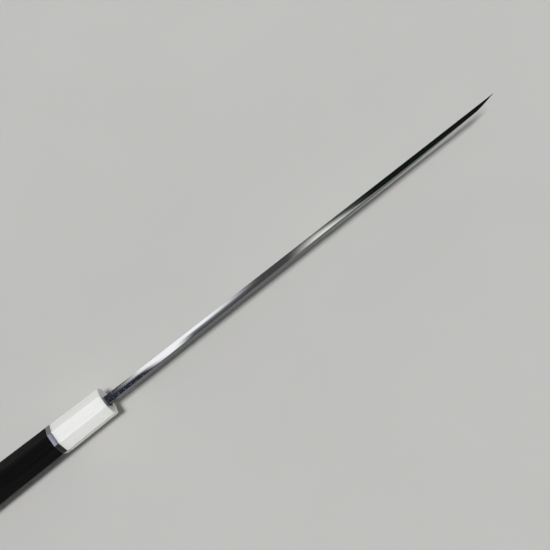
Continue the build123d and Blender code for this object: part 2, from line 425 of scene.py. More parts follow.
def steel_section(rule, x, blade):
    """Section of the hard steel: along its spine, down the hollow back, round the edge and back up."""
    sizes = rule.sizes
    start = max(rule.seam_y, rule.right_y(x))
    thick = sizes.back_y - start
    bottom = rule.edge(x) if blade else rule.neck(x)
    radius = min(sizes.back_round, thick * ROUND_SHARE, bottom * NARROW_SHARE)
    top = [(y, rule.spine(x, y)) for y in swing(start, sizes.back_y - radius, SPINE_POINTS)]
    left_corner = corner(sizes.back_y, top[-1][1], radius)
    rim_high, rim_low = hollow_rims(rule, x, bottom)
    middle = (rim_high + rim_low) / 2.0
    half = (rim_low - rim_high) / 2.0
    back = [(sizes.back_y, d) for d in run(left_corner[-1][1], rim_high, SIDE_POINTS)]
    for v in run(-1.0, 1.0, HOLLOW_POINTS):
        sink = half * half / (2.0 * sizes.hollow_radius) * (1.0 - v * v)
        back.append((sizes.back_y - sink, middle + half * v))
    back += [(sizes.back_y, d) for d in run(rim_low, bottom, SIDE_POINTS)]
    if blade:
        fine = min(sizes.edge_height, bottom * NARROW_SHARE)
        deep = bottom - rule.ridge_point(x)[1]
        # Share of the bevel's depth at which the fine bevel of the edge begins.
        limit = 1.0 - fine / max(deep, MERGE) if deep > fine * 2.0 else 0.5
        share = rule.seam_share(x)
        rising = [(sizes.back_y - min(sizes.edge_thickness, thick * NARROW_SHARE), bottom - fine)]
        rising += [rule.bevel_point(x, u)
                   for u in run(max(limit - EDGE_GAP_SHARE, share), share, BEVEL_POINTS)]
        rising[-1] = (start, rising[-1][1])
    else:
        rising = [(y, bottom) for y in run(sizes.back_y - MERGE, start, BEVEL_POINTS + 1)]
    inner = [(start, d) for d in run(rising[-1][1], top[0][1], SIDE_POINTS)]
    return top + left_corner + back + rising + inner


def hollow_rims(rule, x, bottom):
    """Depths of the hollow's upper and lower border, equal where there is no hollow."""
    sizes = rule.sizes
    high, low = sizes.spine_rim, bottom - sizes.edge_rim
    middle = (high + low) / 2.0
    if x <= sizes.hollow_start or low <= high:
        middle = min(max(middle, bottom * BACK_SHARES[0]), bottom * BACK_SHARES[1])
        return middle, middle
    half = (low - high) / 2.0
    into = (x - sizes.hollow_start) / sizes.hollow_round
    if into < 1.0:
        half *= math.sqrt(1.0 - (1.0 - into) ** 2)
    return middle - half, middle + half


def skin(name, rows, zones, sharp_rows, spine_z, materials):
    """Mesh over closed sections, each with its station; zones gives each row of faces its material."""
    mesh = bmesh.new()
    rings = [[mesh.verts.new((x, y, spine_z - depth)) for y, depth in section] for x, section in rows]
    count = len(rings[0])
    for k in range(len(rings) - 1):
        step = rows[k + 1][0] - rows[k][0] < MERGE
        for j in range(count):
            n = (j + 1) % count
            face = mesh.faces.new((rings[k][j], rings[k][n], rings[k + 1][n], rings[k + 1][j]))
            face.smooth = True
            face.material_index = zones[j]
            for edge in face.edges:
                ends = set(edge.verts)
                along = j in sharp_rows and ends == {rings[k][j], rings[k + 1][j]}
                if along or step and (ends <= set(rings[k]) or ends <= set(rings[k + 1])):
                    edge.smooth = False
    for ring in (rings[0][::-1], rings[-1]):
        mesh.faces.new(ring)
    bmesh.ops.remove_doubles(mesh, verts=mesh.verts, dist=MERGE)
    bmesh.ops.dissolve_degenerate(mesh, edges=mesh.edges, dist=MERGE)
    bmesh.ops.recalc_face_normals(mesh, faces=mesh.faces)
    for edge in mesh.edges:
        if len(edge.link_faces) == 2 and edge.calc_face_angle() > CREASE:
            edge.smooth = False
    return finish_mesh(name, mesh, materials)


def zone_list(count, *stretches):
    """Material number of each row of faces: 0, but for the given stretches of number, first and end."""
    zones = [0] * count
    for number, first, end in stretches:
        zones[first:end] = [number] * (end - first)
    return zones


def finish_mesh(name, mesh, materials):
    data = bpy.data.meshes.new(name)
    mesh.to_mesh(data)
    mesh.free()
    for material in materials:
        data.materials.append(material)
    return link_mesh(name, data)


def link_mesh(name, data):
    piece = bpy.data.objects.new(name, data)
    bpy.context.scene.collection.objects.link(piece)
    return piece


def neck_stations(rule):
    """Stations along the neck where it holds steel, closer together in its corner to the heel."""
    bend = rule.heel_x - rule.sizes.neck_round
    return (run(rule.sizes.steel_start, bend, NECK_STATIONS)[:-1]
            + run(bend, rule.heel_x, NECK_CORNER_STATIONS))


def blade_stations(rule, end):
    """Stations from the heel to the end, closer together where the blade's lines bend."""
    sizes = rule.sizes
    marks = [rule.heel_x, sizes.hollow_start, sizes.hollow_start + sizes.hollow_round,
             *(rule.heel_x + sizes.blade_length * share for share in BEND_SHARES),
             rule.ridge_end, end]
    stations = []
    for a, b, count in zip(marks, marks[1:], STRETCH_STATIONS):
        part = run(a, b, count + 1)
        if a == sizes.hollow_start:
            part = [a + (b - a) * (1.0 - math.cos(math.pi / 2.0 * i / count)) for i in range(count + 1)]
        stations += part[:-1]
    return stations + [end]


# Shader parts


class Graph:
    """Adds nodes to a tree, row after row, and sets or links their inputs."""

    COLUMNS = 12
    STEP = (180, -260)

    def __init__(self, tree):
        self.tree = tree
        self.count = 0

    def give(self, socket, value):
        if hasattr(value, "is_linked"):
            self.tree.links.new(value, socket)
        else:
            socket.default_value = value

    def add(self, kind, inputs=None, **settings):
        """New node; inputs holds values or sources of links by the socket's name or number."""
        node = self.tree.nodes.new(kind)
        row, column = divmod(self.count, self.COLUMNS)
        node.location = (self.STEP[0] * column, self.STEP[1] * row)
        self.count += 1
        for key, value in settings.items():
            setattr(node, key, value)
        for key, value in (inputs or {}).items():
            self.give(node.inputs[key], value)
        return node

    def math(self, operation, *values):
        return self.add("ShaderNodeMath", dict(enumerate(values)), operation=operation).outputs[0]

    def blend(self, mask, first, second):
        """Colour that goes from the first to the second with the mask."""
        colours = [c if hasattr(c, "is_linked") else (*c, 1.0) for c in (first, second)]
        node = self.add("ShaderNodeMix", data_type="RGBA")
        for key, value in zip(("Factor", 6, 7), (mask, *colours)):
            self.give(node.inputs[key], value)
        return node.outputs[2]


def shared_group(name, build):
    """The node group of that name, built when it is first asked for."""
    return bpy.data.node_groups.get(name) or build(name)


def new_group(name, kind, inputs, outputs):
    """Graph of a new node group, with the sockets that it is given and those that it makes."""
    tree = bpy.data.node_groups.new(name, kind)
    for way, sockets in (("INPUT", inputs), ("OUTPUT", outputs)):
        for label, socket_kind, *default in sockets:
            socket = tree.interface.new_socket(label, in_out=way, socket_type="NodeSocket" + socket_kind)
            if default:
                socket.default_value = default[0]
    graph = Graph(tree)
    return graph, graph.add("NodeGroupInput").outputs, graph.add("NodeGroupOutput").inputs


def stretched_noise(graph, given, scale, detail, **more):
    scaled = graph.add(
        "ShaderNodeVectorMath", {0: given["Vector"], 1: given["Stretch"]}, operation="MULTIPLY")
    inputs = {"Vector": scaled.outputs[0], "Scale": scale, "Detail": detail, **more}
    return graph.add("ShaderNodeTexNoise", inputs).outputs["Fac"]


def drawn_lines(name):
    """Fine drawn lines: noise stretched along one direction. Lines is a mask from 0 to 1."""
    graph, given, made = new_group(
        name, "ShaderNodeTree",
        (("Vector", "Vector"), ("Stretch", "Vector", (30.0, 6000.0, 6000.0)), ("Broad", "Float", 0.4)),
        (("Lines", "Float"),))
    fine = stretched_noise(graph, given, 1.0, 3.0)
    coarse = stretched_noise(graph, given, 0.21, 2.0)
    mixed = graph.add(
        "ShaderNodeMix", {"Factor": given["Broad"], "A": fine, "B": coarse}, data_type="FLOAT")
    spread = graph.add(
        "ShaderNodeMapRange", {"Value": mixed.outputs["Result"], "From Min": 0.3, "From Max": 0.7})
    graph.give(made["Lines"], spread.outputs["Result"])
    return graph.tree


def soft_patches(name):
    """Soft patches, as of haze, veins or handling. Patches is a mask from 0 to 1."""
    graph, given, made = new_group(
        name, "ShaderNodeTree",
        (("Vector", "Vector"), ("Stretch", "Vector", (60.0, 60.0, 60.0)), ("Warp", "Float", 0.6),
         ("Low", "Float", 0.35), ("High", "Float", 0.65)),
        (("Patches", "Float"),))
    noise = stretched_noise(graph, given, 1.0, 5.0, Distortion=given["Warp"])
    spread = graph.add(
        "ShaderNodeMapRange", {"Value": noise, "From Min": given["Low"], "From Max": given["High"]},
        interpolation_type="SMOOTHSTEP")
    graph.give(made["Patches"], spread.outputs["Result"])
    return graph.tree


class Finish(Graph):
    """A material: nodes round its Principled shader, with patterns that read object coordinates."""

    def __init__(self, name, colour, roughness, metallic=0.0):
        self.material = bpy.data.materials.new(name)
        self.material.use_nodes = True
        self.material.diffuse_color = (*colour, 1.0)
        super().__init__(self.material.node_tree)
        self.shader = self.tree.nodes["Principled BSDF"]
        self.feed(Base_Color=(*colour, 1.0), Roughness=roughness, Metallic=metallic)
        self.place = self.add("ShaderNodeTexCoord").outputs["Object"]

    def feed(self, **values):
        """Set or link inputs of the shader; in a name _ stands for a space."""
        for key, value in values.items():
            self.give(self.shader.inputs[key.replace("_", " ")], value)

    def pattern(self, group, turn, values):
        place = self.place
        if turn:
            place = self.add("ShaderNodeMapping", {"Vector": place, "Rotation": turn}).outputs["Vector"]
        return self.add("ShaderNodeGroup", {"Vector": place, **values}, node_tree=group).outputs[0]

    def lines(self, turn=None, **values):
        return self.pattern(shared_group("Drawn Lines", drawn_lines), turn, values)

    def patches(self, turn=None, **values):
        return self.pattern(shared_group("Soft Patches", soft_patches), turn, values)

    def spread(self, mask, low, high):
        node = self.add("ShaderNodeMapRange", {"Value": mask, "To Min": low, "To Max": high})
        return node.outputs["Result"]

    def bump(self, height, distance):
        node = self.add("ShaderNodeBump", {"Height": height, "Distance": distance})
        self.feed(Normal=node.outputs["Normal"])


def shaded(colour, share):
    return tuple(c * share for c in colour)


# Share of the drawn lines in what varies a metal; the haze has the rest.
LINE_SHARE = 0.6


def metal_finish(name, colour, shade, low, high, stretch, depth,
                 turn=None, haze=(60.0, 90.0, 90.0), rim=1.0):
    """Worked metal, of roughness low to high; rim is its grazing reflection."""
    finish = Finish(name, tuple(colour), low, metallic=1.0)
    lines = finish.lines(turn, Stretch=stretch)
    patches = finish.patches(Stretch=haze)
    both = finish.math("ADD", finish.math("MULTIPLY", lines, LINE_SHARE),
                       finish.math("MULTIPLY", patches, 1.0 - LINE_SHARE))
    finish.feed(
        Base_Color=finish.blend(both, shaded(colour, shade), tuple(colour)),
        Roughness=finish.spread(both, high, low),
        Specular_Tint=(rim, rim, rim, 1.0))
    finish.bump(lines, depth)
    return finish.material


# The scratches of the bevel and of the back lean against the blade's length by these turns.
BEVEL_TURN = (0.0, math.radians(4.0), 0.0)
BACK_TURN = (0.0, math.radians(-62.0), 0.0)


def polished_iron():
    return metal_finish("polished_iron", bpy.context.scene.knife_finishes.iron, 0.94, 0.02, 0.06,
                        (25.0, 5000.0, 5000.0), 0.0000002)


# Painted shade on the right flat: its darker colour and low grazing reflection (rim) stand for the shaded
# floor it mirrors. The rest is its satin finish.
def satin_flat():
    return metal_finish("satin_flat", bpy.context.scene.knife_finishes.flat, 0.82, 0.18, 0.30,
                        (18.0, 4200.0, 4200.0), 0.0000003, haze=(30.0, 90.0, 160.0), rim=0.38)


def misted_iron():
    return metal_finish("misted_iron", bpy.context.scene.knife_finishes.mist, 0.78, 0.28, 0.42,
                        (22.0, 3600.0, 3600.0), 0.0000006, BEVEL_TURN, (60.0, 200.0, 260.0))


def edge_steel():
    return metal_finish("edge_steel", bpy.context.scene.knife_finishes.steel, 0.88, 0.12, 0.22,
                        (30.0, 5200.0, 5200.0), 0.0000004, BEVEL_TURN)


def hollow_steel():
    return metal_finish("hollow_steel", bpy.context.scene.knife_finishes.hollow, 0.82, 0.18, 0.30,
                        (40.0, 3600.0, 3000.0), 0.0000004, BACK_TURN)


def nickel_silver():
    return metal_finish("nickel_silver", bpy.context.scene.knife_finishes.ring, 0.95, 0.12, 0.18,
                        (9000.0, 60.0, 60.0), 0.0000003)


def white_horn():
    look = bpy.context.scene.knife_finishes
    horn, vein = tuple(look.horn), tuple(look.horn_vein)
    finish = Finish("white_horn", horn, 0.20)
    veins = finish.patches((0.2, 0.1, 0.0), Stretch=(38.0, 260.0, 190.0), Warp=1.2, Low=0.56, High=0.74)
    fibres = finish.lines(Stretch=(70.0, 2600.0, 2600.0), Broad=0.6)
    patches = finish.patches(Stretch=(80.0, 140.0, 140.0))
    veined = finish.blend(finish.math("MULTIPLY", veins, 0.45), horn, vein)
    finish.feed(
        Base_Color=finish.blend(finish.math("MULTIPLY", fibres, 0.12), veined, vein),
        Roughness=finish.spread(patches, 0.15, 0.26),
        Subsurface_Weight=0.75, Subsurface_Radius=(0.9, 0.8, 0.7), Subsurface_Scale=0.0045,
        IOR=1.54, Coat_Weight=0.25, Coat_Roughness=0.08)
    finish.bump(fibres, 0.000002)
    return finish.material


def black_wood():
    look = bpy.context.scene.knife_finishes
    finish = Finish("black_wood", tuple(look.wood), 0.36)
    streaks = finish.patches(Stretch=(14.0, 420.0, 420.0), Warp=0.5, Low=0.45, High=0.75)
    pores = finish.lines(Stretch=(260.0, 5200.0, 5200.0), Broad=0.15)
    handling = finish.patches(Stretch=(45.0, 70.0, 70.0))
    finish.feed(
        Base_Color=finish.blend(streaks, tuple(look.wood), tuple(look.wood_streak)),
        Roughness=finish.math("ADD", finish.spread(handling, 0.34, 0.44), finish.spread(pores, 0.12, 0.0)),
        Specular_IOR_Level=0.08)
    finish.bump(pores, 0.000010)
    return finish.material


def light_wood():
    dowel = tuple(bpy.context.scene.knife_finishes.dowel)
    finish = Finish("light_wood", dowel, 0.6)
    grain = finish.lines(Stretch=(20.0, 1500.0, 900.0), Broad=0.5)
    finish.feed(Base_Color=finish.blend(grain, shaded(dowel, 0.75), dowel))
    finish.bump(grain, 0.00001)
    return finish.material


def lumpy_finish(name, colour, low, high, roughness, scale, depth):
    """Finish that small lumps mottle between two shares of its colour, and its mask of lumps."""
    finish = Finish(name, colour, roughness)
    lumps = finish.patches(Stretch=(scale, scale, scale))
    finish.feed(Base_Color=finish.blend(lumps, shaded(colour, low), shaded(colour, high)))
    finish.bump(lumps, depth)
    return finish, lumps


def set_resin(name, roughness):
    resin = bpy.context.scene.knife_finishes.resin
    finish, lumps = lumpy_finish(name, resin, 1.0, 2.2, roughness, 900.0, 0.00008)
    finish.feed(Roughness=finish.spread(lumps, roughness, roughness + 0.2))
    return finish.material


def dried_fleck():
    fleck = bpy.context.scene.knife_finishes.fleck
    return lumpy_finish("dried_fleck", fleck, 0.6, 1.0, 0.5, 4000.0, 0.00003)[0].material


# Handle rule


def end_group(graph, given, made, mesh):
    """End a geometry group: make its instances real and give the result its material."""
    real = graph.add("GeometryNodeRealizeInstances", {0: mesh})
    dressed = graph.add(
        "GeometryNodeSetMaterial", {"Geometry": real.outputs[0], "Material": given["Material"]})
    graph.give(made["Geometry"], dressed.outputs[0])
    return graph.tree


def octagon_body(name):
    """Octagonal body along X from a front to a rear section, with cut-outs for mouth, tang and bore."""
    numbers = ("Front X", "Rear X", "Front Width", "Front Height", "Rear Width", "Rear Height",
               "Corner Width", "Corner Height", "Rear Break")
    graph, given, made = new_group(
        name, "GeometryNodeTree",
        (("Geometry", "Geometry"), *((n, "Float") for n in numbers), ("Material", "Material")),
        (("Geometry", "Geometry"),))
    figure = graph.math
    prism = graph.add("GeometryNodeMeshCylinder",
                      {"Vertices": 8, "Side Segments": 3, "Radius": 1.0, "Depth": 2.0}, fill_type="NGON")
    here = graph.add("GeometryNodeInputPosition").outputs[0]
    turned = graph.add(
        "ShaderNodeVectorRotate", {"Vector": here, "Angle": math.pi / 8.0}, rotation_type="Z_AXIS")
    parts = graph.add("ShaderNodeSeparateXYZ", {0: turned.outputs[0]}).outputs
    # Level along the prism: 0 front, 1/3 and 2/3 the inner rings, 1 rear.
    level = figure("MULTIPLY_ADD", parts["Z"], -0.5, 0.5)
    inner = figure("GREATER_THAN", level, 0.5)
    last = figure("GREATER_THAN", level, 0.9)
    middle_ring = figure("MULTIPLY", figure("GREATER_THAN", level, 0.1), figure("SUBTRACT", 1.0, inner))
    length = figure("SUBTRACT", given["Front X"], given["Rear X"])
    before_break = figure("SUBTRACT", length, given["Rear Break"])
    last_break = figure("MULTIPLY", last, given["Rear Break"])
    # Distance behind the front: 0, half way, before the broken corner, and the whole length.
    behind = figure("ADD", figure("MULTIPLY", middle_ring, figure("MULTIPLY", length, 0.5)),
                    figure("ADD", figure("MULTIPLY", inner, before_break), last_break))
    share = figure("DIVIDE", behind, length)
    inset = figure("MULTIPLY", last_break, 2.0)

    def across(measure):
        front, rear = given["Front " + measure], given["Rear " + measure]
        whole = figure("MULTIPLY_ADD", figure("SUBTRACT", rear, front), share, front)
        return figure("SUBTRACT", whole, inset)

    wide = figure("GREATER_THAN", figure("ABSOLUTE", parts["X"]), figure("ABSOLUTE", parts["Y"]))

    def place(side, measure, slanted):
        """Half the measure on the vertex's side, less the corner's share where a slanted flat starts."""
        whole = across(measure)
        cut = figure("MULTIPLY", figure("MULTIPLY", whole, given["Corner " + measure]), slanted)
        half = figure("SUBTRACT", figure("MULTIPLY", whole, 0.5), cut)
        return figure("MULTIPLY", figure("SIGN", side), half)

    spot = graph.add("ShaderNodeCombineXYZ", {
        "X": figure("SUBTRACT", given["Front X"], behind),
        "Y": place(parts["X"], "Width", figure("SUBTRACT", 1.0, wide)),
        "Z": place(parts["Y"], "Height", wide)})
    smooth = graph.add("GeometryNodeSetShadeSmooth", {"Geometry": prism.outputs["Mesh"]})
    placed = graph.add(
        "GeometryNodeSetPosition", {"Geometry": smooth.outputs["Geometry"], "Position": spot.outputs[0]})
    carved = graph.add("GeometryNodeMeshBoolean",
                       {"Mesh 1": placed.outputs[0], "Mesh 2": given["Geometry"]},
                       operation="DIFFERENCE", solver="EXACT")
    return end_group(graph, given, made, carved.outputs["Mesh"])


def strewn_flecks(name):
    """Small lumps strewn over the given patches, half sunk, each of its own size and turn."""
    graph, given, made = new_group(
        name, "GeometryNodeTree",
        (("Geometry", "Geometry"), ("Density", "Float"), ("Size", "Float"), ("Seed", "Int"),
         ("Material", "Material")),
        (("Geometry", "Geometry"),))
    strewn = graph.add("GeometryNodeDistributePointsOnFaces",
                       {"Mesh": given["Geometry"], "Density": given["Density"], "Seed": given["Seed"]},
                       distribute_method="RANDOM")
    lump = graph.add("GeometryNodeMeshIcoSphere", {"Subdivisions": 2, "Radius": given["Size"]})
    smooth = graph.add("GeometryNodeSetShadeSmooth", {"Geometry": lump.outputs["Mesh"]})

    def scatter(low, high):
        """Vector between two others that each lump draws by itself."""
        inputs = {0: (low,) * 3, 1: (high,) * 3, "Seed": given["Seed"]}
        return graph.add("FunctionNodeRandomValue", inputs, data_type="FLOAT_VECTOR").outputs[0]

    placed = graph.add("GeometryNodeInstanceOnPoints",
                       {"Points": strewn.outputs["Points"], "Instance": smooth.outputs["Geometry"],
                        "Scale": scatter(0.25, 0.60), "Rotation": scatter(0.0, math.tau)})
    return end_group(graph, given, made, placed.outputs[0])


def add_nodes(base, group, values):
    """Node modifier on the base, with its inputs set by the identifiers of their names."""
    modifier = base.modifiers.new(group.name, "NODES")
    modifier.node_group = group
    sockets = {item.name: item.identifier for item in group.interface.items_tree
               if item.item_type == "SOCKET" and item.in_out == "INPUT"}
    for key, value in values.items():
        modifier[sockets[key]] = value


def evaluated_piece(base, name, material):
    """Plain piece with the mesh of an object and its modifiers; the object itself goes."""
    evaluated = base.evaluated_get(bpy.context.evaluated_depsgraph_get())
    data = bpy.data.meshes.new_from_object(evaluated)
    bpy.data.objects.remove(base)
    data.name = name
    if not data.materials:
        data.materials.append(material)
    return link_mesh(name, data)


# How far the handle's cutters reach past what they cut.
OVER = 0.001
# Angle from which the handle's corners are rounded.
ROUND_ANGLE = math.radians(18.0)
BORE_SEGMENTS = 64


def box_shape(mesh, low, high):
    middle = (Vector(low) + Vector(high)) / 2.0
    size = Vector(high) - Vector(low)
    bmesh.ops.create_cube(mesh, size=1.0, matrix=Matrix.Translation(middle) @ Matrix.Diagonal((*size, 1.0)))


def bore_shape(mesh, front_x, rear_x):
    radius = bpy.context.scene.knife_handle.bore_radius
    turn = Matrix.Rotation(math.pi / 2.0, 4, "Y")
    place = Matrix.Translation(((front_x + rear_x) / 2.0, 0.0, 0.0)) @ turn
    bmesh.ops.create_cone(mesh, cap_ends=True, segments=BORE_SEGMENTS, radius1=radius, radius2=radius,
                          depth=front_x - rear_x, matrix=place)


def cut_ferrule(mesh):
    """Mouth for the neck, slot for the tang and bore for the dowel."""
    bore_front = bpy.context.scene.knife_handle.bore_front
    box_shape(mesh, seal_low, (OVER, seal_high[1], seal_high[2]))
    box_shape(mesh, (bore_front - OVER, bedding_low[1], bedding_low[2]),
              (seal_low[0] + OVER, bedding_high[1], bedding_high[2]))
    bore_shape(mesh, bore_front, ferrule_low[0] - OVER)


def cut_ring(mesh):
    bore_shape(mesh, ring_high[0] + OVER, ring_low[0] - OVER)


def cut_body(mesh):
    bore_shape(mesh, body_high[0] + OVER, dowel_low[0])


def octagon_piece(node, slot, cut, front, rear, rear_break, round_radius, segments, material):
    """Octagonal piece by the handle rule between the ends of its CAD node, with its corners rounded."""
    sizes = bpy.context.scene.knife_handle
    low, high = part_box(node)
    mesh = bmesh.new()
    cut(mesh)
    bmesh.ops.recalc_face_normals(mesh, faces=mesh.faces)
    base = finish_mesh(node + "_base", mesh, ())
    add_nodes(base, shared_group("Octagon Body", octagon_body), {
        "Front X": high[0], "Rear X": low[0], "Front Width": front[0], "Front Height": front[1],
        "Rear Width": rear[0], "Rear Height": rear[1], "Rear Break": rear_break,
        "Corner Width": sizes.corner_width, "Corner Height": sizes.corner_height, "Material": material})
    bevel = base.modifiers.new("Rounding", "BEVEL")
    bevel.width = round_radius
    bevel.segments = segments
    bevel.limit_method = "ANGLE"
    bevel.angle_limit = ROUND_ANGLE
    base.modifiers.new("Even Flats", "WEIGHTED_NORMAL")
    join_root(evaluated_piece(base, node + "_finished", material), slot, node)


def join_root(piece, slot, *nodes):
    """The finished piece rides on the one rigid body and stands for its CAD nodes."""
    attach(piece, "root")
    if nodes:
        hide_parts(*nodes)


def tang_section(sizes, height, thickness):
    """Section of the tang, with as many points as one of the cladding."""
    middle = sizes.back_y - sizes.thickness / 2.0
    top = sizes.spine_z - sizes.tang_rise - height / 2.0
    bottom = top + height
    left, right = middle + thickness / 2.0, middle - thickness / 2.0
    section = [(left, top)] * CORNER_POINTS + [(y, top) for y in run(left, right, SPINE_POINTS)]
    section += [(right, top)] * CORNER_POINTS + [(right, d) for d in run(top, bottom, FLAT_POINTS)]
    section += [(y, bottom) for y in run(right, left, BEVEL_POINTS)]
    return section + [(left, d) for d in run(bottom, top, SIDE_POINTS)]


# Operators


class KNIFE_OT_cladding(bpy.types.Operator):
    """Make the soft iron body of the blade with its neck and tang"""

    bl_idname = "knife.cladding"
    bl_label = "Blade cladding"

    def execute(self, context):
        rule = BladeRule(context.scene.knife_blade)
        sizes = rule.sizes
        rows = [(sizes.tang_end, tang_section(sizes, sizes.tang_end_height, sizes.tang_end_thickness)),
                (sizes.neck_rear, tang_section(sizes, sizes.tang_root_height, sizes.tang_root_thickness))]
        bare = run(sizes.neck_rear, sizes.steel_start, BARE_NECK_STATIONS)
        rows += [(x, cladding_section(rule, x, True, False)) for x in bare]
        rows += [(x, cladding_section(rule, x, False, False)) for x in neck_stations(rule)]
        blade = blade_stations(rule, rule.cladding_end)
        rows += [(x, cladding_section(rule, x, False, True)) for x in blade]
        flat = CORNER_POINTS + SPINE_POINTS + CORNER_POINTS
        bevel = flat + FLAT_POINTS
        end = bevel + BEVEL_POINTS
        zones = zone_list(end + SIDE_POINTS, (1, bevel - 1, end - 1), (2, flat - 1, bevel - 1))
        # Zone 2, the upright right flat, takes the satin flat with its painted shade.
        piece = skin("blade_cladding_finished", rows, zones, {bevel - 1, bevel, end - 1, end},
                     sizes.spine_z, (polished_iron(), misted_iron(), satin_flat()))
        join_root(piece, "soft_iron", "blade_cladding")
        return {"FINISHED"}


class KNIFE_OT_steel(bpy.types.Operator):
    """Make the hard steel layer with its hollow back and its edge"""

    bl_idname = "knife.steel"
    bl_label = "Blade steel"

    def execute(self, context):
        rule = BladeRule(context.scene.knife_blade)
        sizes = rule.sizes
        rows = [(x, steel_section(rule, x, False)) for x in neck_stations(rule)]
        rows += [(x, steel_section(rule, x, True)) for x in blade_stations(rule, sizes.tip_x)]
        hollow = SPINE_POINTS + CORNER_POINTS + SIDE_POINTS
        rim = hollow + HOLLOW_POINTS
        edge = rim + SIDE_POINTS
        end = edge + BEVEL_POINTS + 1
        zones = zone_list(end + SIDE_POINTS, (1, hollow, rim - 1), (2, edge - 1, end))
        sharp = {0, hollow - 1, hollow, rim - 1, rim, edge - 1, edge, end - 1, end}
        piece = skin("blade_steel_finished", rows, zones, sharp, sizes.spine_z,
                     (polished_iron(), hollow_steel(), edge_steel()))
        join_root(piece, "hard_steel", "blade_steel")
        return {"FINISHED"}


class KNIFE_OT_handle(bpy.types.Operator):
    """Make ferrule, ring and handle body by the handle's rule"""

    bl_idname = "knife.handle"
    bl_label = "Ferrule, ring and body"

    def execute(self, context):
        sizes = context.scene.knife_handle
        front = (sizes.front_width, sizes.front_height)
        ring = (sizes.ring_width, sizes.ring_height)
        butt = (sizes.butt_width, sizes.butt_height)
        octagon_piece("ferrule", "white_horn", cut_ferrule, front, ring, 0.0,
                      sizes.horn_round, 4, white_horn())
        octagon_piece("spacer_ring", "nickel_silver", cut_ring, ring, ring, 0.0,
                      sizes.ring_round, 2, nickel_silver())
        octagon_piece("handle_body", "black_wood", cut_body, ring, butt, sizes.butt_break,
                      sizes.wood_round, 4, black_wood())
        return {"FINISHED"}


class KNIFE_OT_inside(bpy.types.Operator):
    """Finish the pieces inside the handle and the seal round the neck"""

    bl_idname = "knife.inside"
    bl_label = "Dowel, bedding and seal"

    def execute(self, context):
        finishes = {
            "handle_dowel": light_wood(),
            "tang_bedding": set_resin("bedding_resin", 0.4),
            "mouth_seal": set_resin("seal_resin", 0.35),
        }
        for node, material in finishes.items():
            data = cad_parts[node].data
            data.materials.clear()
            data.materials.append(material)
        return {"FINISHED"}


class KNIFE_OT_flecks(bpy.types.Operator):
    """Strew dried resin flecks over the mouth's seal and the neck in front of it"""

    bl_idname = "knife.flecks"
    bl_label = "Resin flecks"

    def execute(self, context):
        sizes = context.scene.knife_handle
        rule = BladeRule(context.scene.knife_blade)
        left, top, right = rule.sizes.back_y, rule.sizes.spine_z, rule.right_y(0.0)
        face, seal_left, seal_top = seal_high
        rim, reach = sizes.fleck_size, sizes.fleck_reach
        mesh = bmesh.new()
        for corners in (
            ((face, left, 0.0), (face, seal_left, 0.0), (face, seal_left, top), (face, left, top)),
            ((face, right, top), (face, left, top), (face, left, seal_top), (face, right, seal_top)),
            ((rim, right + rim, top), (reach, right + rim, top),
             (reach, left - rim, top), (rim, left - rim, top)),
        ):
            mesh.faces.new([mesh.verts.new(spot) for spot in corners])
        area = sum(patch.calc_area() for patch in mesh.faces)
        base = finish_mesh("resin_flecks_base", mesh, ())
        material = dried_fleck()
        add_nodes(base, shared_group("Strewn Flecks", strewn_flecks), {
            "Density": sizes.fleck_count / area, "Size": sizes.fleck_size, "Seed": sizes.fleck_seed,
            "Material": material})
        join_root(evaluated_piece(base, "resin_flecks", material), "seal_resin")
        return {"FINISHED"}


